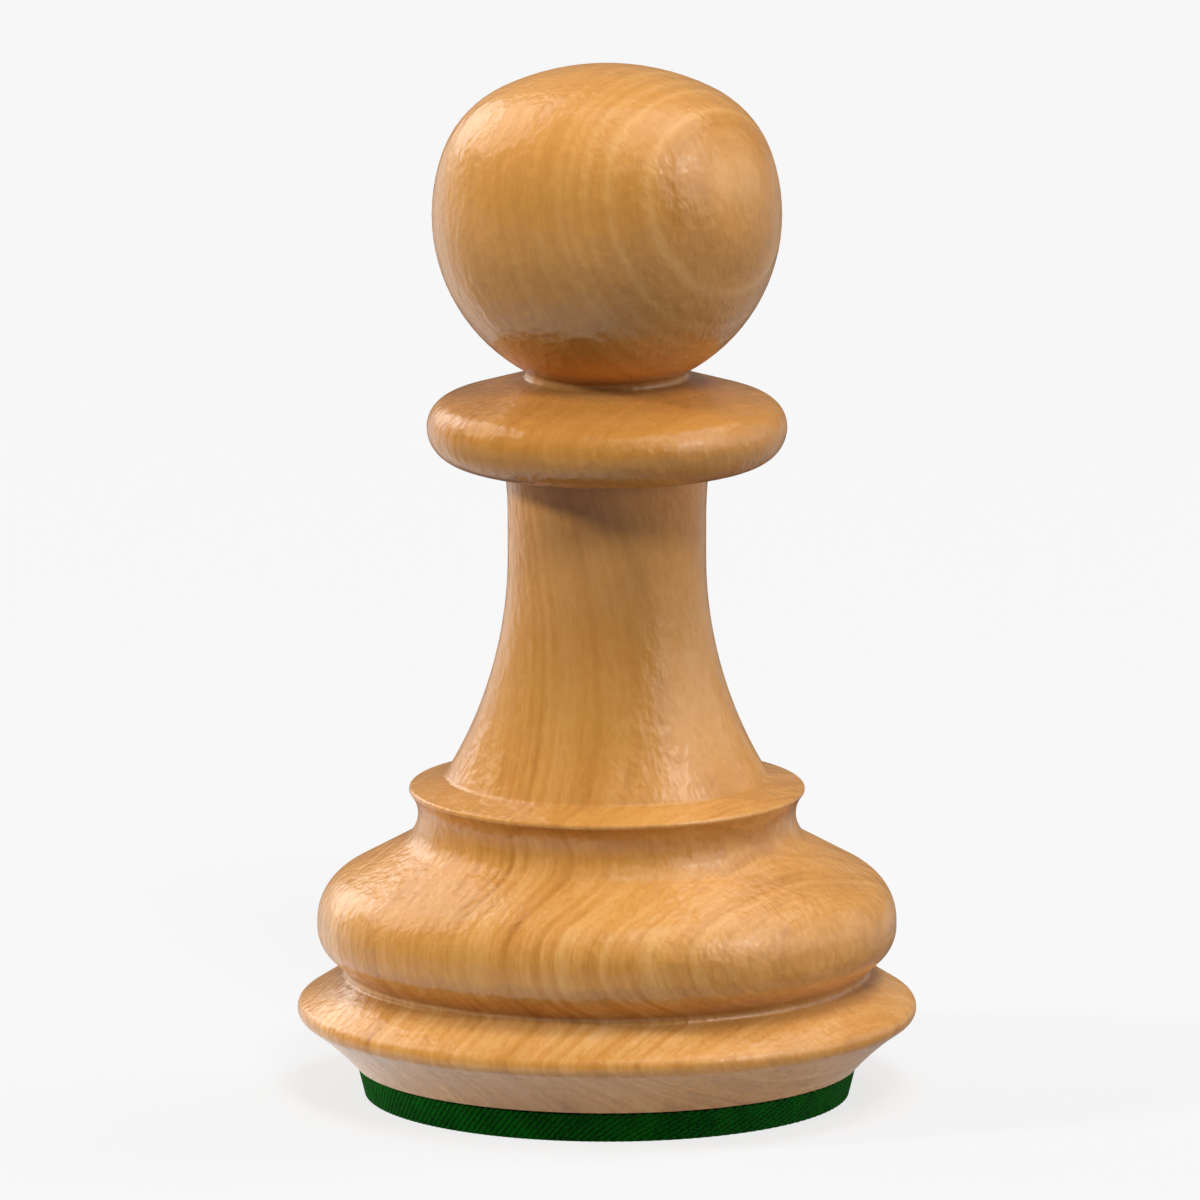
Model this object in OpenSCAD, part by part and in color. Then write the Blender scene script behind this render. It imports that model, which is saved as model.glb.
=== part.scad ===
// Chess pawn: a body turned in one piece from boxwood, weighted with a steel slug and felted under the sole.
// Millimetres, +Z up. The origin is on the axis, on the face of the felt that the pawn stands on.
// The body's outline is a chain of tangent beads and coves, stacked from the sole to the crown and revolved.
// Each arc is placed from the arc below it, so one size can change and the outline stays smooth.

/* [Felt pad] */
// Thickness of the felt
felt_t = 1.4; // [0.8:0.1:3]
// How much smaller the radius of the felt's lower face is than that of its upper face
felt_taper = 0.35; // [0.1:0.05:1]
// Rounding of the felt's lower edge
felt_edge_r = 0.05; // [0.05:0.05:0.35]
// Bare edge of the sole that the felt leaves around it
felt_margin = 0.1; // [0.05:0.05:1]
// Thickness of the glue film
film_t = 0.1; // [0.05:0.05:0.4]
// Distance from the felt's edge to the edge of the glue film
film_margin = 0.5; // [0.2:0.1:2]

/* [Base] */
// Diameter of the sole
foot_d = 24.1; // [22:0.1:26]
// Angle between the base's flank and the sole, at the sole's edge
foot_slope = 48.5; // [44:0.5:54]
// Radius of the shallow cove under the rim
under_cove_r = 13.4; // [10:0.1:20]
// Diameter over the rim, the widest part of the pawn
base_d = 29.65; // [28.6:0.05:32]
// Rounding of the rim
base_rim_r = 0.55; // [0.3:0.05:0.9]
// Slope of the base's upper face
base_slope = 32.4; // [26:0.1:38]

/* [Dome] */
// Diameter at the bottom of the groove under the dome
groove_d = 25.15; // [23.5:0.05:26]
// Fillet in the groove
groove_fillet_r = 0.3; // [0.15:0.05:0.45]
// Slope of the dome's lower face, up from the groove
dome_under_slope = 43; // [36:0.5:52]
// Radius of the dome's lower bead
dome_low_r = 1.7; // [1.2:0.05:2.2]
// Diameter of the dome
dome_d = 27.75; // [27:0.05:29]
// Height of the straight band round the dome's widest part
dome_band_h = 0.3; // [0.1:0.05:1]
// Radius of the dome's upper bead
dome_top_r = 2.6; // [2:0.05:3.4]
// Slope of the dome's upper face
dome_slope = 28.8; // [24:0.1:34]

/* [Ring] */
// Radius of the cove between the dome and the ring
cove_r = 1.7; // [1.3:0.05:2.2]
// Diameter at the bottom of the cove
waist_d = 18.1; // [17:0.05:18.6]
// Diameter of the ring
ring_d = 18.95; // [18.7:0.05:20]
// Rounding of the ring's edge
ring_rim_r = 0.17; // [0.1:0.01:0.3]
// Slope of the ledge between the ring and the stem
ledge_slope = 18; // [12:0.5:26]

/* [Stem] */
// Fillet at the foot of the stem
stem_fillet_r = 0.4; // [0.2:0.05:0.7]
// Diameter at the foot of the stem
stem_foot_d = 15.2; // [13.5:0.05:16.5]
// Radius of the stem's long flare
flare_r = 20.6; // [16:0.1:26]
// Least diameter of the stem
stem_d = 9.5; // [8:0.05:11]
// Length of the straight stretch of the stem
stem_band_h = 1.85; // [0.5:0.05:5]
// Radius of the flare under the collar
top_flare_r = 21; // [12:0.5:30]
// Height of the flare under the collar
top_flare_h = 2.9; // [1.5:0.1:5]

/* [Collar] */
// Diameter of the collar
collar_d = 17.25; // [15.5:0.05:19]
// Radius of the collar's lower bead
collar_low_r = 1.6; // [1.3:0.05:2]
// Angle below the horizontal at which the lower bead runs into the collar's flat underside
collar_under_turn = 75.5; // [50:0.5:86]
// Radius of the collar's upper bead
collar_top_r = 1.35; // [1:0.05:1.9]
// Slope of the collar's upper face
collar_slope = 17.2; // [12:0.1:24]

/* [Head] */
// Fillet of the neck
neck_fillet_r = 0.25; // [0.15:0.05:0.5]
// Diameter of the neck
neck_d = 7.75; // [6.5:0.05:9]
// Diameter of the head
head_d = 16.75; // [15:0.05:18.5]
// Radius of the head below its widest part
head_low_r = 8.55; // [7.8:0.05:9.5]
// Radius of the head just above its widest part
head_side_r = 9; // [8:0.1:11]
// Angle above the horizontal at which the side of the head turns into its shoulder
shoulder_turn = 18.5; // [12:0.5:26]
// Radius of the head's shoulder
shoulder_r = 5.3; // [4.2:0.1:6]
// Radius of the head's crown
crown_r = 11.6; // [9.5:0.1:14]

/* [Weight] */
// Diameter of the bore for the weight
bore_d = 12; // [8:0.5:13]
// Length of the slug
slug_h = 9; // [4:0.5:10]
// Chamfer on the slug's ends
slug_chamfer = 0.5; // [0.2:0.1:1]
// Gap between the slug and the bore
slug_gap = 0.15; // [0.05:0.05:0.4]
// Length of the plug that closes the bore
plug_h = 3; // [1.5:0.5:4]
// Chamfer on the plug's inner end
plug_chamfer = 0.4; // [0.2:0.1:1]
// Gap between the plug and the bore
plug_gap = 0.05; // [0.05:0.05:0.2]
// Diameter of the mark that the bit's spur leaves in the end of the bore
spur_d = 2; // [1:0.5:4]
// Depth of the spur's mark
spur_h = 0.8; // [0.4:0.1:2]

/* [Hidden] */
$fn = 128;

// Largest turn and largest length of one straight step along an arc, and the least distance between two points
facet_turn = 5;
facet_len = 0.6;
facet_min = 0.001;
// Overlap of a cut past the face that it opens
cut_over = 1;

sole_z = film_t + felt_t;
felt_r = foot_d / 2 - felt_margin;
film_r = felt_r - film_margin;
bore_h = plug_h + slug_h;

// An arc is [radius of its centre from the axis, height of its centre, its own radius].
// Its own radius is positive for a bead, whose centre is in the wood, and negative for a cove.
// An angle along it is that of the outward normal: 0 points straight out and 90 straight up.

// Arc of radius s, centred r from the axis, joined to the arc below by a straight face with normal a
function straight(below, r, s, a) = [r, below.y + (below.z - s - cos(a) * (r - below.x)) / sin(a), s];

// Arc of radius s, centred r from the axis, that touches the arc below
function touch(below, r, s) = [r, below.y + sqrt((below.z - s) ^ 2 - (r - below.x) ^ 2), s];

// Angle of the normal that two touching arcs share
function shared_normal(p, q) = let (n = (q - p) / (p.z - q.z)) atan2(n.y, n.x);

// Point of an arc at normal a
function on_arc(p, a) = [p.x + p.z * cos(a), p.y + p.z * sin(a)];

// Points along an arc from normal a to normal b
function arc(p, a, b) =
    let (length = abs(p.z * (b - a)) * PI / 180)
    let (steps = ceil(max(abs(b - a) / facet_turn, length / facet_len)))
    [for (i = [0 : steps]) on_arc(p, a + (b - a) * i / steps)];

// Points without those that repeat the one before
function distinct(points) =
    [for (i = [0 : len(points) - 1]) if (i == 0 || norm(points[i] - points[max(i - 1, 0)]) > facet_min) points[i]];

// Normals of the straight faces
foot_n = foot_slope - 90;
base_n = 90 - base_slope;
dome_under_n = dome_under_slope - 90;
dome_n = 90 - dome_slope;
ledge_n = 90 - ledge_slope;
collar_n = 90 - collar_slope;
felt_n = -atan2(felt_taper, felt_t);

// Base, with heights measured from the sole
under_cove = [foot_d / 2 + under_cove_r * cos(foot_n), under_cove_r * sin(foot_n), -under_cove_r];
base_rim = touch(under_cove, base_d / 2 - base_rim_r, base_rim_r);
under_n = shared_normal(under_cove, base_rim);

// Dome
groove = straight(base_rim, groove_d / 2 + groove_fillet_r, -groove_fillet_r, base_n);
dome_low = straight(groove, dome_d / 2 - dome_low_r, dome_low_r, dome_under_n);
dome_top = [dome_d / 2 - dome_top_r, dome_low.y + dome_band_h, dome_top_r];

// Ring
cove = straight(dome_top, waist_d / 2 + cove_r, -cove_r, dome_n);
ring = touch(cove, ring_d / 2 - ring_rim_r, ring_rim_r);
ring_n = shared_normal(cove, ring);

// Stem
stem_fillet = straight(ring, stem_foot_d / 2 + stem_fillet_r, -stem_fillet_r, ledge_n);
flare = touch(stem_fillet, stem_d / 2 + flare_r, -flare_r);
flare_n = shared_normal(stem_fillet, flare);
top_flare = [stem_d / 2 + top_flare_r, flare.y + stem_band_h, -top_flare_r];
top_flare_n = -asin(top_flare_h / top_flare_r);

// Collar
collar_z = top_flare.y + top_flare_h + collar_low_r * sin(collar_under_turn);
collar_low = [collar_d / 2 - collar_low_r, collar_z, collar_low_r];
collar_top = [collar_d / 2 - collar_top_r, collar_z, collar_top_r];

// Head
neck = straight(collar_top, neck_d / 2 + neck_fillet_r, -neck_fillet_r, collar_n);
head_low = touch(neck, head_d / 2 - head_low_r, head_low_r);
neck_n = shared_normal(neck, head_low);
head_side = [head_d / 2 - head_side_r, head_low.y, head_side_r];
shoulder_c = on_arc([head_side.x, head_side.y, head_side_r - shoulder_r], shoulder_turn);
shoulder = [shoulder_c.x, shoulder_c.y, shoulder_r];
crown = [0, shoulder.y - sqrt((crown_r - shoulder_r) ^ 2 - shoulder.x ^ 2), crown_r];
crown_n = shared_normal(shoulder, crown);

body_outline = distinct([
    [0, 0],
    each arc(under_cove, foot_n, under_n),
    each arc(base_rim, under_n, base_n),
    each arc(groove, base_n, dome_under_n),
    each arc(dome_low, dome_under_n, 0),
    each arc(dome_top, 0, dome_n),
    each arc(cove, dome_n, ring_n),
    each arc(ring, ring_n, ledge_n),
    each arc(stem_fillet, ledge_n, flare_n),
    each arc(flare, flare_n, 0),
    each arc(top_flare, 0, top_flare_n),
    each arc(collar_low, -collar_under_turn, 0),
    each arc(collar_top, 0, collar_n),
    each arc(neck, collar_n, neck_n),
    each arc(head_low, neck_n, 0),
    each arc(head_side, 0, shoulder_turn),
    each arc(shoulder, shoulder_turn, crown_n),
    each arc(crown, crown_n, 90),
]);

felt_edge_x = felt_r - felt_taper - felt_edge_r * (1 + sin(felt_n)) / cos(felt_n);
felt_edge = [felt_edge_x, felt_edge_r, felt_edge_r];
felt_outline = [[0, 0], each arc(felt_edge, -90, felt_n), [felt_r, felt_t], [0, felt_t]];

// Round bar of radius r and length h, with chamfers of its own at the lower and the upper end
module chamfered_bar(r, h, low, high) {
    rotate_extrude()
        polygon([
            [0, 0],
            [r - low, 0],
            if (low > 0) [r, low],
            [r, h - high],
            [r - high, h],
            [0, h],
        ]);
}

// Flat-bottomed blind bore, with the mark of the bit's spur in its end
module bore() {
    translate([0, 0, -cut_over])
        cylinder(d = bore_d, h = bore_h + cut_over);
    translate([0, 0, bore_h])
        cylinder(d1 = spur_d, d2 = 0, h = spur_h);
}

module turned_body() {
    color("#c88d43")
        translate([0, 0, sole_z])
            difference() {
                rotate_extrude()
                    polygon(body_outline);
                bore();
            }
}

module weight_slug() {
    color("#8d9093")
        translate([0, 0, sole_z + plug_h])
            chamfered_bar(bore_d / 2 - slug_gap, slug_h, slug_chamfer, slug_chamfer);
}

module bore_plug() {
    color("#b58a58")
        translate([0, 0, sole_z])
            chamfered_bar(bore_d / 2 - plug_gap, plug_h, 0, plug_chamfer);
}

module glue_film() {
    color("#e6dcb8")
        translate([0, 0, felt_t])
            cylinder(r = film_r, h = film_t);
}

module felt_pad() {
    color("#0a4a14")
        rotate_extrude()
            polygon(felt_outline);
}

turned_body();
weight_slug();
bore_plug();
glue_film();
felt_pad();
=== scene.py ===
"""Looks of a turned boxwood chess pawn that stands on a green felt pad.

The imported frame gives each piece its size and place. The body is spun from the frame's own outline, the felt
pad gets its ribs as real relief, and the pieces hidden in the bore keep their shape and get a finish.
"""

import logging
import math
from collections.abc import Callable
from dataclasses import dataclass
from enum import Enum
from typing import ClassVar

import bmesh
import bpy
from mathutils import Matrix, Vector


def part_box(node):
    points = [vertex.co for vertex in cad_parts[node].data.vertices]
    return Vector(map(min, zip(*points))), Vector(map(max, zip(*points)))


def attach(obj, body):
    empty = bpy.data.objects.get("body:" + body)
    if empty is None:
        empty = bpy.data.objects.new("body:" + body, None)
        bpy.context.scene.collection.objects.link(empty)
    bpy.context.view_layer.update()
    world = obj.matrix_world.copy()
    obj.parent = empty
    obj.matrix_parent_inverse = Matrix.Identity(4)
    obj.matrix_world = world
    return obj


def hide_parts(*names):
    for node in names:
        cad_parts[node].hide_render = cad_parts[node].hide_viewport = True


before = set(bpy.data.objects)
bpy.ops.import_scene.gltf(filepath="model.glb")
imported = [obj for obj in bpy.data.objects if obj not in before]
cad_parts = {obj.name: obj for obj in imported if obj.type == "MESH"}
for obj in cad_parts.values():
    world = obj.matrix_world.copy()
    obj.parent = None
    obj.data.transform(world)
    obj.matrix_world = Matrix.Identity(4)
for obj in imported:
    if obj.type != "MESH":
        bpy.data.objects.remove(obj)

LOG = logging.getLogger("pawn")
MM = 0.001
UM = 0.001 * MM
UP = Vector((0, 0, 1))
# The middle level of a noise, and of a ramp of colours.
MIDDLE = 0.5
BODY = "root"
RIB_HEIGHT = "rib_height"

Triple = tuple[float, float, float]
Stops = dict[float, str]
Piece = bpy.types.Object
Material = bpy.types.Material
Tree = bpy.types.NodeTree
Socket = bpy.types.NodeSocket


class Node(Enum):
    """The solids of the frame."""

    TURNED_BODY = "turned_body"
    WEIGHT_SLUG = "weight_slug"
    BORE_PLUG = "bore_plug"
    GLUE_FILM = "glue_film"
    FELT_PAD = "felt_pad"


class Slot(Enum):
    """The record's material slots."""

    BOXWOOD = "boxwood"
    SLUG_STEEL = "slug_steel"
    PLUG_WOOD = "plug_wood"
    GLUE = "glue"
    FELT = "felt"


class LampUse(Enum):
    """What a lamp does: it lights and shades the surface, or it is only mirrored in the gloss."""

    SHADES = "shades"
    SHINES = "shines"


def linear(colour: str) -> tuple[float, float, float, float]:
    """Turns an sRGB colour into a linear one.

    Args:
        colour: the colour as #RRGGBB.

    Returns:
        Linear red, green and blue, and an alpha of 1.
    """
    shares = (int(colour[i : i + 2], 16) / 255 for i in (1, 3, 5))
    red, green, blue = (s / 12.92 if s <= 0.04045 else ((s + 0.055) / 1.055) ** 2.4 for s in shares)
    return red, green, blue, 1.0


def add_node(
    tree: Tree,
    kind: str,
    inputs: dict | None = None,
    stops: Stops | None = None,
    **settings: object,
) -> bpy.types.Node:
    """Adds one node to a node tree.

    Args:
        tree: the tree of a material or a world.
        kind: the node's type.
        inputs: what each input, by its name or number, is linked to or set to.
        stops: the colours of a ramp by their place along it.
        settings: the node's own properties.

    Returns:
        The new node.
    """
    node = tree.nodes.new(kind)
    for name, value in settings.items():
        setattr(node, name, value)
    for key, value in (inputs or {}).items():
        if isinstance(value, Socket):
            tree.links.new(value, node.inputs[key])
        else:
            node.inputs[key].default_value = value
    for number, (place, colour) in enumerate((stops or {}).items()):
        elements = node.color_ramp.elements
        stop = elements[number] if number < len(elements) else elements.new(place)
        stop.position = place
        stop.color = linear(colour)
    return node


def new_material(name: str) -> tuple[Material, Tree]:
    """Starts a material with an empty node tree.

    Args:
        name: the material's name.

    Returns:
        The material and its tree.
    """
    material = bpy.data.materials.new(name)
    material.use_nodes = True
    material.node_tree.nodes.clear()
    return material, material.node_tree


@dataclass(frozen=True)
class Rise:
    """A rise or fall of a level between two values, with the level at each of them."""

    low: float
    high: float
    at_low: float
    at_high: float

    def inputs(self, value: Socket) -> dict[str, Socket | float]:
        """Spells out the inputs of a node that maps a value to the level."""
        levels = {"From Min": self.low, "From Max": self.high, "To Min": self.at_low, "To Max": self.at_high}
        return {"Value": value, **levels}


@dataclass(frozen=True)
class Figure:
    """Patches of one size in a material: noise, cut between two levels, that adds to a running total.

    The size is given in millimetres along the three axes of the coordinates that it is drawn on.
    """

    size_mm: Triple
    low: float
    high: float
    at_low: float
    at_high: float
    detail: float = 1.0

    def add_to(self, tree: Tree, place_mm: Socket, total: Socket | float) -> Socket:
        """Draws the patches and adds them to a total.

        Args:
            tree: the material's tree.
            place_mm: coordinates in millimetres.
            total: what the patches are added to.

        Returns:
            The new total.
        """
        sized = {0: place_mm, 1: [1 / size for size in self.size_mm]}
        drawn = add_node(tree, "ShaderNodeVectorMath", sized, operation="MULTIPLY").outputs[0]
        noise = add_node(tree, "ShaderNodeTexNoise", {"Vector": drawn, "Scale": 1.0, "Detail": self.detail})
        levels = Rise(self.low, self.high, self.at_low, self.at_high).inputs(noise.outputs["Fac"])
        cut = add_node(tree, "ShaderNodeMapRange", levels, interpolation_type="SMOOTHSTEP").outputs[0]
        return add_node(tree, "ShaderNodeMath", {0: cut, 1: total}, operation="ADD").outputs[0]


@dataclass(frozen=True)
class Mark:
    """A stretch that is paler or darker: where its middle lies, by how much, and how far it takes to fade."""

    place_mm: float
    tone: float
    reach_mm: float

    def add_to(self, tree: Tree, value_mm: Socket, share: Socket | float, total: Socket) -> Socket:
        """Adds the stretch to a total.

        Args:
            tree: the material's tree.
            value_mm: the measure along which the stretch lies.
            share: how much of it shows.
            total: what it is added to.

        Returns:
            The new total.
        """
        off = add_node(tree, "ShaderNodeMath", {0: value_mm, 1: self.place_mm}, operation="SUBTRACT")
        away = add_node(tree, "ShaderNodeMath", {0: off.outputs[0]}, operation="ABSOLUTE").outputs[0]
        fading = Rise(0.0, self.reach_mm, self.tone, 0.0).inputs(away)
        tone = add_node(tree, "ShaderNodeMapRange", fading, interpolation_type="SMOOTHSTEP").outputs[0]
        terms = {0: tone, 1: share, 2: total}
        return add_node(tree, "ShaderNodeMath", terms, operation="MULTIPLY_ADD").outputs[0]


@dataclass(frozen=True)
class LacqueredBoxwood:
    """Boxwood, turned and sanded between centres and sealed under clear satin lacquer.

    The wood is dense and fine, so it shows the eye a honey-gold ground with faint growth layers, short fibres
    and a few ray flecks. The lacquer has drawn into the fibres, which gives its gloss a fine ripple along the
    grain.
    """

    name: str = "boxwood_turned_and_lacquered"
    stops: ClassVar[Stops] = {0.0: "#8E5424", 0.3: "#C9883D", 0.5: "#DE9C4E", 0.7: "#ECB168", 1.0: "#FBD097"}
    roughness: float = 0.24
    lacquer_ior: float = 1.6
    # The growth layers are shells around the pith, which lies outside the pawn. They gather into bands. Both
    # are drawn as noise, cut between two levels.
    layer_normal: Triple = (0.786, -0.583, 0.194)
    pith_mm: float = 45.0
    layer_mm: float = 0.63
    layer_gain: float = 0.09
    band_mm: float = 2.5
    band_gain: float = 0.16
    layer_detail: float = 0.5
    layer_cut: tuple[float, float] = (0.25, 0.75)
    # How far the layers wander and over what length, and how much slower they do so along the grain.
    warp_mm: float = 0.35
    warp_size_mm: float = 7.0
    warp_along: float = 0.4
    warp_detail: float = 2.0
    # Patches in which the layers are fainter.
    patches: Figure = Figure((8.0, 8.0, 8.0), 0.35, 0.65, 0.25, 1.0)
    # Each layer ends in a thin dark line: the tone before and at the line, where in the layer it sets in, and
    # by what share of a layer the lines shift, over what length.
    line_tones: tuple[float, float] = (0.034, -0.09)
    line_from: float = 0.45
    line_jitter: float = 0.9
    line_drift_mm: float = 1.05
    # How strongly the layers, the flecks and the dark lines show, by the height in millimetres. They stand
    # out more towards the foot, where the cut runs slanting through them.
    layers_by_height: Rise = Rise(13.0, 20.0, 1.7, 0.75)
    flecks_by_height: Rise = Rise(13.0, 20.0, 1.3, 0.75)
    lines_by_height: Rise = Rise(13.0, 20.0, 1.0, 0.2)
    # The head shows some layers of its own, which lean a little more than the others from a height on.
    head_by_height: Rise = Rise(35.0, 36.5, 0.0, 1.0)
    head_layers: tuple[Mark, ...] = (
        Mark(11.0, 0.05, 0.3),
        Mark(12.05, 0.06, 0.3),
        Mark(12.6, 0.06, 0.3),
        Mark(13.2, 0.09, 0.3),
        Mark(14.1, 0.13, 0.3),
        Mark(15.37, 0.18, 0.3),
        Mark(16.2, -0.09, 0.6),
    )
    lean_from_mm: float = 42.3
    lean_per_mm: float = 0.058
    # Painted shade and painted light by height: the whole wood is drawn darker at the collar and neck under
    # the head, and paler on the base's flange top.
    painted_shade_and_light_by_height: tuple[Mark, ...] = (Mark(33.3, -0.14, 2.2), Mark(5.3, 0.1, 1.0))
    # Painted shade: inner corners, where shade falls, are drawn darker towards a dark grey-brown, within a
    # short reach.
    corner_shade_mm: float = 1.2
    corner_shade_rays: int = 12
    corner_shade_share: float = 0.78
    corner_shade_colour: str = "#614F3F"
    figures: tuple[Figure, ...] = (
        # Broad changes of tone, and streaks that lie in the layers.
        Figure((6.0, 6.0, 12.0), 0.3, 0.7, -0.035, 0.035),
        Figure((0.5, 2.0, 4.0), 0.3, 0.7, -0.032, 0.032, 2.0),
        # Fibres, drawn coarser than the real 0.02 mm so that they show.
        Figure((0.12, 0.3, 0.8), 0.3, 0.7, -0.036, 0.036, 2.0),
        # Darker mottles where rays come to the surface, and pores.
        Figure((0.4, 0.9, 1.2), 0.52, 0.76, 0.0, -0.055),
        Figure((0.06, 0.06, 0.45), 0.62, 0.78, 0.0, -0.04),
    )
    # The lacquer's ripple over the fibres, and its broader waves.
    reliefs_um: tuple[Figure, ...] = (
        Figure((0.36, 0.36, 0.5), 0.2, 0.8, -9.0, 9.0),
        Figure((0.9, 0.9, 1.2), 0.2, 0.8, -15.0, 15.0),
    )

    def grain_turn(self) -> Matrix:
        """Works out how the grain lies in the pawn.

        Returns:
            The turn that lays X across the growth layers and Z along the grain.
        """
        across = Vector(self.layer_normal).normalized()
        along = (UP - across * UP.dot(across)).normalized()
        return Matrix((across, along.cross(across), along))

    def warp(self, tree: Tree, grain_mm: Socket) -> Socket:
        """Lets the grain wander, as it does in a tree.

        Args:
            tree: the material's tree.
            grain_mm: straight coordinates along the grain.

        Returns:
            The coordinates along the wandering grain.
        """
        stretched = {0: grain_mm, 1: (1, 1, self.warp_along)}
        drawn = add_node(tree, "ShaderNodeVectorMath", stretched, operation="MULTIPLY").outputs[0]
        waves = {"Vector": drawn, "Scale": 1 / self.warp_size_mm, "Detail": self.warp_detail}
        drift = add_node(tree, "ShaderNodeTexNoise", waves).outputs["Color"]
        centred = add_node(tree, "ShaderNodeVectorMath", {0: drift, 1: (MIDDLE,) * 3}, operation="SUBTRACT")
        terms = {0: centred.outputs[0], 1: (2 * self.warp_mm,) * 3, 2: grain_mm}
        return add_node(tree, "ShaderNodeVectorMath", terms, operation="MULTIPLY_ADD").outputs[0]

    def depth_mm(self, tree: Tree, grain_mm: Socket, high_mm: Socket, head: Socket) -> Socket:
        """Works out which growth layer a place lies in.

        Args:
            tree: the material's tree.
            grain_mm: coordinates along the grain, from the pith.
            high_mm: the height above the floor.
            head: how much of the head's own layers shows at this height.

        Returns:
            The distance from the pith, less that of the pawn's axis.
        """
        flat = add_node(tree, "ShaderNodeVectorMath", {0: grain_mm, 1: (1, 1, 0)}, operation="MULTIPLY")
        radius = add_node(tree, "ShaderNodeVectorMath", {0: flat.outputs[0]}, operation="LENGTH")
        measures = {0: radius.outputs["Value"], 1: self.pith_mm}
        depth = add_node(tree, "ShaderNodeMath", measures, operation="SUBTRACT")
        above = add_node(tree, "ShaderNodeMath", {0: high_mm, 1: self.lean_from_mm}, operation="SUBTRACT")
        lean = add_node(tree, "ShaderNodeMath", {0: head, 1: self.lean_per_mm}, operation="MULTIPLY")
        terms = {0: above.outputs[0], 1: lean.outputs[0], 2: depth.outputs[0]}
        return add_node(tree, "ShaderNodeMath", terms, operation="MULTIPLY_ADD").outputs[0]

    def add_layers(self, tree: Tree, depth_mm: Socket, share: Socket, total: Socket | float) -> Socket:
        """Adds the growth layers and the bands to the wood's tone.

        Args:
            tree: the material's tree.
            depth_mm: the distance across the layers.
            share: how strongly they show.
            total: what they are added to.

        Returns:
            The new total.
        """
        for spacing, gain in ((self.layer_mm, self.layer_gain), (self.band_mm, self.band_gain)):
            # Each layer has a pale and a dark half.
            halves = {"W": depth_mm, "Scale": 2 / spacing, "Detail": self.layer_detail}
            noise = add_node(tree, "ShaderNodeTexNoise", halves, noise_dimensions="1D").outputs["Fac"]
            levels = Rise(*self.layer_cut, -gain / 2, gain / 2).inputs(noise)
            tone = add_node(tree, "ShaderNodeMapRange", levels).outputs[0]
            terms = {0: tone, 1: share, 2: total}
            total = add_node(tree, "ShaderNodeMath", terms, operation="MULTIPLY_ADD").outputs[0]
        return total

    def add_lines(self, tree: Tree, depth_mm: Socket, share: Socket, total: Socket) -> Socket:
        """Adds the thin dark lines between the growth layers to the wood's tone.

        Args:
            tree: the material's tree.
            depth_mm: the distance across the layers.
            share: how strongly the lines show.
            total: what they are added to.

        Returns:
            The new total.
        """
        waves = {"W": depth_mm, "Scale": 1 / self.line_drift_mm, "Detail": 0.0}
        drift = add_node(tree, "ShaderNodeTexNoise", waves, noise_dimensions="1D").outputs["Fac"]
        count = add_node(tree, "ShaderNodeMath", {0: depth_mm, 1: self.layer_mm}, operation="DIVIDE")
        terms = {0: drift, 1: self.line_jitter, 2: count.outputs[0]}
        shifted = add_node(tree, "ShaderNodeMath", terms, operation="MULTIPLY_ADD").outputs[0]
        within = add_node(tree, "ShaderNodeMath", {0: shifted}, operation="FRACT").outputs[0]
        levels = Rise(self.line_from, 1.0, *self.line_tones).inputs(within)
        tone = add_node(tree, "ShaderNodeMapRange", levels, interpolation_type="SMOOTHSTEP").outputs[0]
        terms = {0: tone, 1: share, 2: total}
        return add_node(tree, "ShaderNodeMath", terms, operation="MULTIPLY_ADD").outputs[0]

    def tone(self, tree: Tree, grain_mm: Socket, high_mm: Socket) -> Socket:
        """Draws the wood's whole figure, with painted shade and painted light by height.

        Args:
            tree: the material's tree.
            grain_mm: coordinates along the grain, from the pith.
            high_mm: the height above the floor.

        Returns:
            How dark or pale the wood is.
        """
        heights = (self.layers_by_height, self.lines_by_height, self.flecks_by_height, self.head_by_height)
        layers, lines, flecks, head = (
            add_node(tree, "ShaderNodeMapRange", rise.inputs(high_mm)).outputs[0] for rise in heights
        )
        patches = self.patches.add_to(tree, grain_mm, 0.0)
        layers, lines = (
            add_node(tree, "ShaderNodeMath", {0: patches, 1: share}, operation="MULTIPLY").outputs[0]
            for share in (layers, lines)
        )
        depth_mm = self.depth_mm(tree, grain_mm, high_mm, head)
        tone = self.add_layers(tree, depth_mm, layers, MIDDLE)
        tone = self.add_lines(tree, depth_mm, lines, tone)
        for mark in self.head_layers:
            tone = mark.add_to(tree, depth_mm, head, tone)
        # Painted shade under the head and painted light on the flange top, by height.
        for mark in self.painted_shade_and_light_by_height:
            tone = mark.add_to(tree, high_mm, 1.0, tone)
        fibres: Socket | float = 0.0
        for figure in self.figures:
            fibres = figure.add_to(tree, grain_mm, fibres)
        terms = {0: fibres, 1: flecks, 2: tone}
        return add_node(tree, "ShaderNodeMath", terms, operation="MULTIPLY_ADD").outputs[0]

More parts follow.
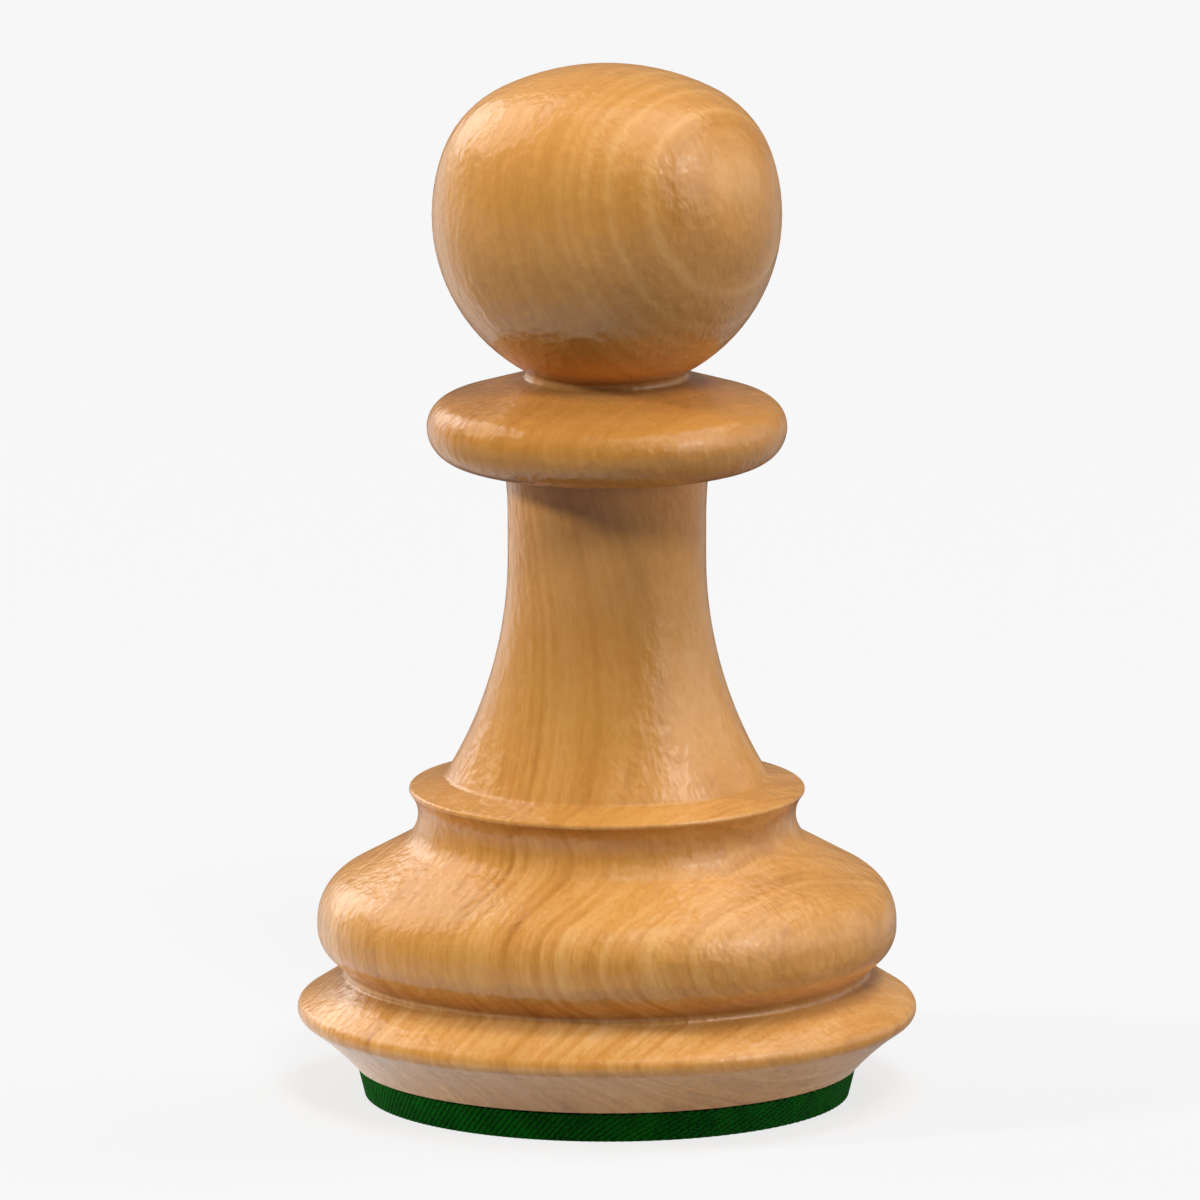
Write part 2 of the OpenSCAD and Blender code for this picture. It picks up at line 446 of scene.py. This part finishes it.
    def material(self) -> Material:
        """Builds the finish.

        Returns:
            The material.
        """
        material, tree = new_material(self.name)
        place = add_node(tree, "ShaderNodeTexCoord").outputs["Object"]
        grain = {
            "Vector": place,
            "Location": (self.pith_mm, 0, 0),
            "Rotation": self.grain_turn().to_euler(),
            "Scale": (1 / MM,) * 3,
        }
        grain_mm = add_node(tree, "ShaderNodeMapping", grain).outputs[0]
        high = add_node(tree, "ShaderNodeSeparateXYZ", {0: place}).outputs["Z"]
        high_mm = add_node(tree, "ShaderNodeMath", {0: high, 1: 1 / MM}, operation="MULTIPLY").outputs[0]
        tone = self.tone(tree, self.warp(tree, grain_mm), high_mm)
        colour = add_node(tree, "ShaderNodeValToRGB", {"Fac": tone}, self.stops).outputs["Color"]
        # Painted shade: ambient occlusion within a short reach mixes the colour towards a dark grey-brown in
        # inner corners.
        around = {"Distance": self.corner_shade_mm * MM}
        opened = add_node(
            tree, "ShaderNodeAmbientOcclusion", around, samples=self.corner_shade_rays, only_local=True
        ).outputs["AO"]
        closed = Rise(0.0, 1.0, self.corner_shade_share, 0.0).inputs(opened)
        painted_shade = add_node(tree, "ShaderNodeMapRange", closed).outputs[0]
        tints = {"Factor": painted_shade, "A": colour, "B": linear(self.corner_shade_colour)}
        shaded_colour = add_node(tree, "ShaderNodeMix", tints, data_type="RGBA")
        height_um: Socket | float = 0.0
        for relief in self.reliefs_um:
            height_um = relief.add_to(tree, grain_mm, height_um)
        ripple = add_node(tree, "ShaderNodeBump", {"Height": height_um, "Distance": UM, "Strength": 1.0})
        shader = add_node(
            tree,
            "ShaderNodeBsdfPrincipled",
            {
                "Base Color": shaded_colour.outputs["Result"],
                "Roughness": self.roughness,
                "IOR": self.lacquer_ior,
                "Normal": ripple.outputs[0],
            },
        )
        add_node(tree, "ShaderNodeOutputMaterial", {"Surface": shader.outputs[0]})
        return material


@dataclass(frozen=True)
class RibbedFelt:
    """Wool felt, pressed with a close diagonal rib and dyed dark green.

    The valleys between the ribs are drawn darker and the ribs paler, as painted shade, and the loose fibres
    catch light at the edges.
    """

    name: str = "wool_felt_ribbed_green"
    stops: ClassVar[Stops] = {0.0: "#001500", 0.5: "#023F07", 1.0: "#08630F"}
    roughness: float = 0.9
    specular_level: float = 0.1
    sheen: float = 0.12
    sheen_roughness: float = 0.4
    sheen_colour: str = "#8FB59A"
    nap_um: float = 20.0
    figures: tuple[Figure, ...] = (
        # Fibres, drawn coarser than the real 0.02 mm so that they show, and broad changes of tone.
        Figure((0.11, 0.11, 0.11), 0.3, 0.7, -0.25, 0.25, 2.0),
        Figure((1.5, 1.5, 1.5), 0.3, 0.7, -0.12, 0.12),
    )

    def material(self) -> Material:
        """Builds the finish.

        Returns:
            The material.
        """
        material, tree = new_material(self.name)
        place = add_node(tree, "ShaderNodeTexCoord").outputs["Object"]
        scaled = {0: place, "Scale": 1 / MM}
        place_mm = add_node(tree, "ShaderNodeVectorMath", scaled, operation="SCALE").outputs[0]
        # Painted shade: the ribs' height from the pad's mesh sets the colour, darker in the valleys and paler
        # on the tops.
        tone = add_node(tree, "ShaderNodeAttribute", attribute_name=RIB_HEIGHT).outputs["Fac"]
        for figure in self.figures:
            tone = figure.add_to(tree, place_mm, tone)
        colour = add_node(tree, "ShaderNodeValToRGB", {"Fac": tone}, self.stops)
        bumps = {"Height": tone, "Distance": self.nap_um * UM, "Strength": 1.0}
        nap = add_node(tree, "ShaderNodeBump", bumps)
        shader = add_node(
            tree,
            "ShaderNodeBsdfPrincipled",
            {
                "Base Color": colour.outputs["Color"],
                "Roughness": self.roughness,
                "Specular IOR Level": self.specular_level,
                "Sheen Weight": self.sheen,
                "Sheen Roughness": self.sheen_roughness,
                "Sheen Tint": linear(self.sheen_colour),
                "Normal": nap.outputs[0],
            },
        )
        add_node(tree, "ShaderNodeOutputMaterial", {"Surface": shader.outputs[0]})
        return material


@dataclass(frozen=True)
class PlainFinish:
    """A finish of one ramp of colours over patches of noise, with the same patches as its relief."""

    name: str
    stops: tuple[str, str, str]
    figures: tuple[Figure, ...]
    roughness: float
    metallic: float = 0.0
    relief_um: float = 5.0

    def material(self) -> Material:
        """Builds the finish.

        Returns:
            The material.
        """
        material, tree = new_material(self.name)
        place = add_node(tree, "ShaderNodeTexCoord").outputs["Object"]
        scaled = {0: place, "Scale": 1 / MM}
        place_mm = add_node(tree, "ShaderNodeVectorMath", scaled, operation="SCALE").outputs[0]
        tone: Socket | float = MIDDLE
        for figure in self.figures:
            tone = figure.add_to(tree, place_mm, tone)
        dark, mid, pale = self.stops
        colour = add_node(tree, "ShaderNodeValToRGB", {"Fac": tone}, {0.0: dark, MIDDLE: mid, 1.0: pale})
        bump = add_node(tree, "ShaderNodeBump", {"Height": tone, "Distance": self.relief_um * UM})
        shader = add_node(
            tree,
            "ShaderNodeBsdfPrincipled",
            {
                "Base Color": colour.outputs["Color"],
                "Roughness": self.roughness,
                "Metallic": self.metallic,
                "Normal": bump.outputs[0],
            },
        )
        add_node(tree, "ShaderNodeOutputMaterial", {"Surface": shader.outputs[0]})
        return material


# Bright-drawn mild steel bar: fine lines along the bar from the die, and a few darker spots of oxide.
DRAWN_STEEL = PlainFinish(
    "mild_steel_bright_drawn",
    ("#6A6A6A", "#8E9092", "#B4B6B8"),
    (
        Figure((0.08, 0.08, 6.0), 0.3, 0.7, -0.3, 0.3, 2.0),
        Figure((1.2, 1.2, 1.2), 0.6, 0.75, 0.0, -0.3, 2.0),
    ),
    roughness=0.38,
    metallic=1.0,
    relief_um=3.0,
)
# Bare turned wood: pale, dull and open-grained, with its grain across the plug.
BARE_WOOD = PlainFinish(
    "beech_turned_bare",
    ("#8F6A40", "#B98D59", "#D3AC78"),
    (
        Figure((5.0, 0.5, 0.8), 0.3, 0.7, -0.25, 0.25, 2.0),
        Figure((1.2, 0.07, 0.07), 0.3, 0.7, -0.15, 0.15),
    ),
    roughness=0.65,
)
# Dried white glue: a clear amber film, thick and thin in patches, with small blisters.
DRIED_GLUE = PlainFinish(
    "wood_glue_dried",
    ("#B79F6C", "#D9C99C", "#EFE5C6"),
    (
        Figure((2.5, 2.5, 2.5), 0.3, 0.7, -0.3, 0.3),
        Figure((0.3, 0.3, 0.3), 0.62, 0.72, 0.0, 0.25),
    ),
    roughness=0.3,
)


def activate(piece: Piece) -> None:
    """Leaves one object selected and active, so that operators act on it alone.

    Args:
        piece: the object.
    """
    bpy.ops.object.select_all(action="DESELECT")
    piece.select_set(True)
    bpy.context.view_layer.objects.active = piece


def select_edges(piece: Piece, wanted: Callable[[Vector, Vector], bool]) -> None:
    """Selects the edges of a piece in edit mode by their two ends.

    Args:
        piece: the object in edit mode.
        wanted: tells from an edge's two ends whether it is selected.
    """
    bpy.ops.mesh.select_all(action="DESELECT")
    bpy.ops.mesh.select_mode(type="EDGE")
    mesh = bmesh.from_edit_mesh(piece.data)
    for edge in mesh.edges:
        edge.select_set(wanted(edge.verts[0].co, edge.verts[1].co))
    bmesh.update_edit_mesh(piece.data)


def finish_piece(piece: Piece, finish: Material, node: Node) -> None:
    """Dresses a new piece, lets it stand for a solid of the frame and lets it ride.

    Args:
        piece: the finished mesh.
        finish: its material.
        node: the solid that it stands for.
    """
    piece.data.materials.clear()
    piece.data.materials.append(finish)
    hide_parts(node.value)
    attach(piece, BODY)
    LOG.info("%s stands for %s", piece.name, node.value)


@dataclass
class TurnedBody:
    """The body, turned in one piece: head, neck, collar, stem, ring, dome and base around a blind bore."""

    name: str = "boxwood_body"
    turns: int = 256
    weld_mm: float = 0.0002
    sharp_deg: float = 40.0

    def build(self) -> Piece:
        """Takes half the outline of the frame's solid and spins it.

        Returns:
            The body as a closed, smooth mesh.
        """
        piece = bpy.data.objects.new(self.name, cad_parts[Node.TURNED_BODY.value].data.copy())
        bpy.context.collection.objects.link(piece)
        activate(piece)
        bpy.ops.object.mode_set(mode="EDIT")
        bpy.ops.mesh.select_all(action="SELECT")
        bpy.ops.mesh.remove_doubles(threshold=self.weld_mm * MM)
        # The first cut leaves half the body, and the second leaves only that half's outline.
        cut = {"plane_co": (0, 0, 0), "threshold": self.weld_mm * MM, "clear_inner": True}
        bpy.ops.mesh.bisect(plane_no=(1, 0, 0), clear_outer=False, **cut)
        bpy.ops.mesh.select_all(action="SELECT")
        bpy.ops.mesh.bisect(plane_no=(0, 1, 0), clear_outer=True, **cut)
        bpy.ops.mesh.select_all(action="SELECT")
        bpy.ops.mesh.spin(steps=self.turns, angle=math.tau, center=(0, 0, 0), axis=UP)
        bpy.ops.mesh.select_all(action="SELECT")
        bpy.ops.mesh.remove_doubles(threshold=self.weld_mm * MM)
        bpy.ops.mesh.normals_make_consistent(inside=False)
        bpy.ops.object.mode_set(mode="OBJECT")
        bpy.ops.object.shade_smooth_by_angle(angle=math.radians(self.sharp_deg))
        return piece

    def dress(self, piece: Piece) -> None:
        """Lacquers the body."""
        finish_piece(piece, LacqueredBoxwood().material(), Node.TURNED_BODY)


@dataclass
class FeltPad:
    """The felt pad: a disc cut a little on the slant, with diagonal ribs that climb its edge."""

    name: str = "ribbed_felt_pad"
    columns: int = 1800
    rows: int = 12
    taper_mm: float = 0.35
    edge_round_mm: float = 0.05
    edge_steps: int = 3
    sharp_deg: float = 60.0
    rib_mm: float = 0.25
    rib_height_mm: float = 0.05
    # The ribs' slope on either side, and the share of the radius within which it changes over in the middle.
    lean_left_deg: float = 48.0
    lean_right_deg: float = 29.0
    lean_change: float = 0.2

    def lean(self, angle: float) -> float:
        """Gives how steeply the ribs climb at an angle round the pad.

        Args:
            angle: the place round the pad, from the front towards the right, in radians.

        Returns:
            The ribs' slope in radians.
        """
        side = max(-1.0, min(1.0, math.sin(angle) / self.lean_change))
        middle = (self.lean_left_deg + self.lean_right_deg) / 2
        swing = (self.lean_right_deg - self.lean_left_deg) / 2
        return math.radians(middle + swing * side)

    def build(self) -> Piece:
        """Turns a cylinder into the pad.

        Returns:
            The pad, with its ribs' height as an attribute of each point.
        """
        low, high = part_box(Node.FELT_PAD.value)
        radius, height = high.x, high.z - low.z
        middle = low.z + height / 2
        bpy.ops.object.select_all(action="DESELECT")
        bpy.ops.mesh.primitive_cylinder_add(
            vertices=self.columns,
            radius=radius,
            depth=height,
            end_fill_type="TRIFAN",
            location=(0, 0, middle),
        )
        piece = bpy.context.object
        piece.name = piece.data.name = self.name
        bpy.ops.object.transform_apply(location=True, rotation=True, scale=True)
        bpy.ops.object.mode_set(mode="EDIT")
        select_edges(piece, lambda a, b: max(a.z, b.z) < middle)
        narrow = 1 - self.taper_mm * MM / radius
        bpy.ops.transform.resize(value=(narrow, narrow, 1), center_override=(0, 0, 0))
        # The edges round the two rims are level and about a column long. The spokes of the faces are longer.
        longest = 2 * math.tau * radius / self.columns
        level = longest / 100
        select_edges(piece, lambda a, b: abs(a.z - b.z) < level and (a - b).length < longest)
        bpy.ops.mesh.bevel(offset=self.edge_round_mm * MM, segments=self.edge_steps, affect="EDGES")
        select_edges(piece, lambda a, b: abs(a.z - b.z) > height / 2)
        bpy.ops.mesh.subdivide(number_cuts=self.rows - 1)
        bpy.ops.object.mode_set(mode="OBJECT")
        self.raise_ribs(piece, low.z, radius)
        bpy.ops.object.shade_smooth_by_angle(angle=math.radians(self.sharp_deg))
        return piece

    def raise_ribs(self, piece: Piece, floor: float, radius: float) -> None:
        """Sinks the valleys between the ribs into the pad's edge.

        Args:
            piece: the pad.
            floor: the height of its lower face.
            radius: its widest radius.
        """
        # The way round the pad to each column, measured square to the ribs.
        reach = [0.0]
        for column in range(self.columns):
            reach.append(reach[-1] + math.sin(self.lean(math.tau * column / self.columns - math.pi)))
        arc = math.tau * radius / self.columns
        # A whole number of ribs goes round, so that they meet.
        ribs = round(reach[-1] * arc / (self.rib_mm * MM))
        spacing = reach[-1] * arc / ribs
        relief = piece.data.attributes.new(RIB_HEIGHT, "FLOAT", "POINT")
        # Points nearer to the axis than this lie on the flat faces, which have no ribs.
        wall = radius - 2 * self.taper_mm * MM
        for vertex, level in zip(piece.data.vertices, relief.data):
            flat = vertex.co.xy.length
            if flat < wall:
                level.value = MIDDLE
                continue
            angle = math.atan2(vertex.co.x, -vertex.co.y)
            column = (angle + math.pi) / math.tau * self.columns
            whole = min(int(column), self.columns - 1)
            run = reach[whole] + (reach[whole + 1] - reach[whole]) * (column - whole)
            climb = (vertex.co.z - floor) * math.cos(self.lean(angle))
            phase = math.pi * (run * arc - climb) / spacing
            level.value = abs(math.sin(phase))
            inward = 1 - self.rib_height_mm * MM * (1 - level.value) / flat
            vertex.co.x *= inward
            vertex.co.y *= inward

    def dress(self, piece: Piece) -> None:
        """Dyes the pad and says what it was cut from.

        Args:
            piece: the pad.
        """
        finish_piece(piece, RibbedFelt().material(), Node.FELT_PAD)


@dataclass
class BoreFilling:
    """What lies hidden in and under the bore: the steel slug, the wooden plug and the film of glue."""

    def dress(self) -> None:
        """Gives each hidden solid of the frame its finish."""
        finishes = {
            Node.WEIGHT_SLUG: (DRAWN_STEEL, Slot.SLUG_STEEL),
            Node.BORE_PLUG: (BARE_WOOD, Slot.PLUG_WOOD),
            Node.GLUE_FILM: (DRIED_GLUE, Slot.GLUE),
        }
        for node, (finish, slot) in finishes.items():
            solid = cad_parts[node.value]
            solid.data.materials.clear()
            solid.data.materials.append(finish.material())
            LOG.info("%s has %s", node.value, finish.name)


@dataclass(frozen=True)
class SoftLight:
    """A soft panel that faces the pawn.

    Its level is the share of white that it gives a white surface turned towards it.
    """

    name: str
    azimuth_deg: float
    elevation_deg: float
    level: float
    width_m: float
    height_m: float
    use: LampUse
    distance_m: float = 2.0

    def towards(self) -> Vector:
        """Gives the direction from the pawn to the panel.

        Returns:
            The direction, with azimuth 0 in front and 90 on the right.
        """
        around, above = math.radians(self.azimuth_deg), math.radians(self.elevation_deg)
        flat = math.cos(above)
        return Vector((math.sin(around) * flat, -math.cos(around) * flat, math.sin(above)))

    def place(self, aim: Vector) -> None:
        """Hangs the panel.

        Args:
            aim: the point that it faces.
        """
        data = bpy.data.lights.new(self.name, "AREA")
        data.shape = "RECTANGLE"
        data.size, data.size_y = self.width_m, self.height_m
        data.energy = self.level * math.pi**2 * self.distance_m**2
        lamp = bpy.data.objects.new(self.name, data)
        lamp.visible_glossy = self.use is LampUse.SHINES
        lamp.visible_diffuse = self.use is LampUse.SHADES
        bpy.context.collection.objects.link(lamp)
        lamp.location = aim + self.towards() * self.distance_m
        lamp.rotation_euler = (-self.towards()).to_track_quat("-Z", "Y").to_euler()


@dataclass
class Studio:
    """The pale floor, the soft light and the camera."""

    # The picture's width and scale, the column of the pawn's axis in it and the height at its middle.
    pixels: float = 1200.0
    pixels_per_mm: float = 20.9
    axis_pixel: float = 606.92
    aim_height_mm: float = 24.04
    elevation_deg: float = 11.5
    lens_mm: float = 1600.0
    sensor_mm: float = 36.0
    # The nearest and the farthest that the camera sees, as shares of its distance.
    clip_shares: tuple[float, float] = (0.1, 4.0)
    # The floor as the eye sees it: mostly a white of its own, and the rest lit, which keeps the shadow.
    floor_size_m: float = 8.0
    floor_white: str = "#F8F8F8"
    floor_lit: str = "#E8E8E8"
    floor_glow: float = 0.82
    # What the floor throws back at the pawn: more from a card under the foot than from the table around it.
    card_bounce: str = "#B8B8B8"
    table_bounce: str = "#484848"
    card_m: float = 0.017
    card_fade_m: float = 0.012
    # How brightly the gloss shows the floor: near the foot by side, and farther off by direction.
    mirrored_near: Rise = Rise(-0.01, 0.025, 1.0, 0.2)
    mirrored_far: Rise = Rise(0.84, 0.97, 0.5, 1.0)
    mirrored_towards: Triple = (-0.6, 0.8, 0.0)
    far_m: float = 0.06
    # In a wedge behind the pawn, which opens from a point in front of it, the gloss shows the floor darker.
    # That draws a thin dark line along the pawn's edges.
    mirrored_behind: Rise = Rise(0.925, 0.99, 1.0, 0.15)
    wedge_from_m: float = -0.04
    air: str = "#181818"
    # How much of the white wall the gloss shows, by how straight it looks back, or back and to the left.
    wall_behind: Rise = Rise(0.45, 0.9, 0.0, 0.2)
    wall_left: Rise = Rise(0.92, 0.99, 0.0, 0.85)
    lights: tuple[SoftLight, ...] = (
        SoftLight("front_lamp", 14, 47, 0.34, 0.4, 0.4, LampUse.SHADES),
        SoftLight("top_front_lamp", 15, 74, 0.31, 0.6, 0.6, LampUse.SHADES),
        SoftLight("left_lamp", 286, 28.5, 0.46, 0.26, 0.26, LampUse.SHADES),
        SoftLight("top_right_lamp", 120, 64, 0.25, 0.6, 0.6, LampUse.SHADES),
        SoftLight("top_back_lamp", 215, 75, 0.09, 0.8, 1.1, LampUse.SHADES),
        SoftLight("low_left_lamp", 240, 8, 0.42, 1.4, 0.5, LampUse.SHADES),
        SoftLight("low_right_lamp", 66, 8, 0.17, 0.6, 0.5, LampUse.SHADES),
        SoftLight("low_back_lamp", 108, 8, 0.28, 1.4, 0.5, LampUse.SHADES),
        SoftLight("left_panel", 230, 40, 0.3, 1.7, 1.4, LampUse.SHINES),
        SoftLight("low_left_window", 214, 18, 0.1, 1.0, 0.8, LampUse.SHINES),
        SoftLight("right_window", 66, 40, 0.085, 0.5, 0.5, LampUse.SHINES),
        SoftLight("right_panel", 67, 36, 0.26, 1.9, 1.6, LampUse.SHINES),
        SoftLight("low_right_panel", 90, 22, 0.3, 3.5, 1.5, LampUse.SHINES),
        SoftLight("top_panel", 112, 65, 0.31, 1.9, 1.6, LampUse.SHINES),
    )

    def aim(self) -> Vector:
        """Gives the point in the middle of the picture."""
        aside = (self.pixels / 2 - self.axis_pixel) / self.pixels_per_mm
        return Vector((aside, 0, self.aim_height_mm)) * MM

    def set_camera(self) -> None:
        """Sets the camera far off with a long lens, at the height from which the pawn is seen."""
        data = bpy.data.cameras.new("view")
        data.lens, data.sensor_width = self.lens_mm, self.sensor_mm
        width = self.pixels / self.pixels_per_mm * MM
        distance = width * self.lens_mm / self.sensor_mm
        data.clip_start, data.clip_end = (share * distance for share in self.clip_shares)
        tilt = math.radians(self.elevation_deg)
        back = Vector((0, -math.cos(tilt), math.sin(tilt)))
        camera = bpy.data.objects.new("view", data)
        bpy.context.collection.objects.link(camera)
        camera.location = self.aim() + back * distance
        camera.rotation_euler = (-back).to_track_quat("-Z", "Y").to_euler()
        bpy.context.scene.camera = camera

    def mirrored(self, tree: Tree, place: Socket, away: Socket) -> Socket:
        """Works out how brightly the gloss shows a place on the floor.

        Args:
            tree: the floor's tree.
            place: the place.
            away: its distance from the pawn's axis.

        Returns:
            The level, at which 1 is white.
        """
        aside, back, _ = add_node(tree, "ShaderNodeSeparateXYZ", {0: place}).outputs
        heading = add_node(tree, "ShaderNodeVectorMath", {0: place}, operation="NORMALIZE").outputs[0]
        both = {0: heading, 1: self.mirrored_towards}
        turned = add_node(tree, "ShaderNodeVectorMath", both, operation="DOT_PRODUCT").outputs["Value"]
        near_level, far_level, far, past = (
            add_node(
                tree, "ShaderNodeMapRange", rise.inputs(value), interpolation_type="SMOOTHSTEP"
            ).outputs[0]
            for rise, value in (
                (self.mirrored_near, aside),
                (self.mirrored_far, turned),
                (Rise(self.far_m / 2, self.far_m, 0.0, 1.0), away),
                (Rise(0.0, self.card_m, 0.0, 1.0), back),
            )
        )
        levels = {"Factor": far, "A": near_level, "B": far_level}
        level = add_node(tree, "ShaderNodeMix", levels, data_type="FLOAT")
        tip = (0, self.wedge_from_m, 0)
        ahead = add_node(tree, "ShaderNodeVectorMath", {0: place, 1: tip}, operation="SUBTRACT").outputs[0]
        wedge = add_node(tree, "ShaderNodeVectorMath", {0: ahead}, operation="NORMALIZE").outputs[0]
        straight = add_node(tree, "ShaderNodeSeparateXYZ", {0: wedge}).outputs["Y"]
        # The wedge counts only behind the pawn's axis.
        within = add_node(tree, "ShaderNodeMath", {0: straight, 1: past}, operation="MINIMUM").outputs[0]
        dimming = self.mirrored_behind.inputs(within)
        behind = add_node(tree, "ShaderNodeMapRange", dimming, interpolation_type="SMOOTHSTEP").outputs[0]
        both = {0: level.outputs["Result"], 1: behind}
        return add_node(tree, "ShaderNodeMath", both, operation="MULTIPLY").outputs[0]

    def lay_floor(self) -> None:
        """Lays a pale floor that keeps the pawn's shadow and is mirrored a little brighter on the left."""
        bpy.ops.object.select_all(action="DESELECT")
        bpy.ops.mesh.primitive_plane_add(size=self.floor_size_m)
        floor = bpy.context.object
        floor.name = "floor"
        material, tree = new_material("floor_paper")
        rays = add_node(tree, "ShaderNodeLightPath").outputs
        direct = {0: rays["Is Camera Ray"], 1: rays["Is Transmission Ray"]}
        seen = add_node(tree, "ShaderNodeMath", direct, operation="MAXIMUM").outputs[0]
        lit = add_node(tree, "ShaderNodeBsdfDiffuse", {"Color": linear(self.floor_lit)}).outputs[0]
        glow = add_node(tree, "ShaderNodeEmission", {"Color": linear(self.floor_white), "Strength": 1.0})
        both = {0: self.floor_glow, 1: lit, 2: glow.outputs[0]}
        shown = add_node(tree, "ShaderNodeMixShader", both).outputs[0]
        place = add_node(tree, "ShaderNodeTexCoord").outputs["Object"]
        away = add_node(tree, "ShaderNodeVectorMath", {0: place}, operation="LENGTH").outputs["Value"]
        fading = Rise(self.card_m, self.card_m + self.card_fade_m, 0.0, 1.0).inputs(away)
        off_card = add_node(tree, "ShaderNodeMapRange", fading, interpolation_type="SMOOTHSTEP").outputs[0]
        card = {0.0: self.card_bounce, 1.0: self.table_bounce}
        tint = add_node(tree, "ShaderNodeValToRGB", {"Fac": off_card}, card).outputs["Color"]
        bounce = add_node(tree, "ShaderNodeBsdfDiffuse", {"Color": tint}).outputs[0]
        level = self.mirrored(tree, place, away)
        gloss = add_node(tree, "ShaderNodeEmission", {"Strength": level}).outputs[0]
        both = {0: rays["Is Glossy Ray"], 1: bounce, 2: gloss}
        unseen = add_node(tree, "ShaderNodeMixShader", both).outputs[0]
        paper = add_node(tree, "ShaderNodeMixShader", {0: seen, 1: unseen, 2: shown}).outputs[0]
        add_node(tree, "ShaderNodeOutputMaterial", {"Surface": paper})
        # Rays find the glow by themselves, so that it never lights the pawn as a lamp.
        material.cycles.emission_sampling = "NONE"
        floor.data.materials.append(material)

    def light(self) -> None:
        """Puts a white wall behind the pawn, dims the air around it and hangs the panels."""
        world = bpy.data.worlds.new("studio_air")
        world.use_nodes = True
        tree = world.node_tree
        tree.nodes.clear()
        rays = add_node(tree, "ShaderNodeLightPath").outputs
        towards = add_node(tree, "ShaderNodeTexCoord").outputs["Generated"]
        behind = add_node(tree, "ShaderNodeSeparateXYZ", {0: towards}).outputs["Y"]
        both = {0: towards, 1: self.mirrored_towards}
        left = add_node(tree, "ShaderNodeVectorMath", both, operation="DOT_PRODUCT").outputs["Value"]
        straight, slanting = (
            add_node(
                tree, "ShaderNodeMapRange", rise.inputs(value), interpolation_type="SMOOTHSTEP"
            ).outputs[0]
            for rise, value in ((self.wall_behind, behind), (self.wall_left, left))
        )
        share = add_node(tree, "ShaderNodeMath", {0: straight, 1: slanting}, operation="MAXIMUM").outputs[0]
        both = {0: rays["Is Glossy Ray"], 1: share}
        seen = add_node(tree, "ShaderNodeMath", both, operation="MULTIPLY").outputs[0]
        for ray in ("Is Camera Ray", "Is Transmission Ray"):
            seen = add_node(tree, "ShaderNodeMath", {0: rays[ray], 1: seen}, operation="MAXIMUM").outputs[0]
        air, wall = (
            add_node(tree, "ShaderNodeBackground", {"Color": linear(colour), "Strength": 1.0}).outputs[0]
            for colour in (self.air, self.floor_white)
        )
        shown = add_node(tree, "ShaderNodeMixShader", {0: seen, 1: air, 2: wall}).outputs[0]
        add_node(tree, "ShaderNodeOutputWorld", {"Surface": shown})
        bpy.context.scene.world = world
        for panel in self.lights:
            panel.place(self.aim())

    def set_up(self) -> None:
        """Makes the whole stage."""
        bpy.context.scene.view_settings.view_transform = "Standard"
        self.set_camera()
        self.lay_floor()
        self.light()
        LOG.info("the stage is set")


def main() -> None:
    """Builds the pawn and its stage."""
    logging.basicConfig(level=logging.INFO, format="%(name)s: %(message)s")
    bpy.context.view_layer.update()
    Studio().set_up()
    for part in (TurnedBody(), FeltPad()):
        piece = part.build()
        part.dress(piece)
    BoreFilling().dress()


if __name__ == "__main__":
    main()
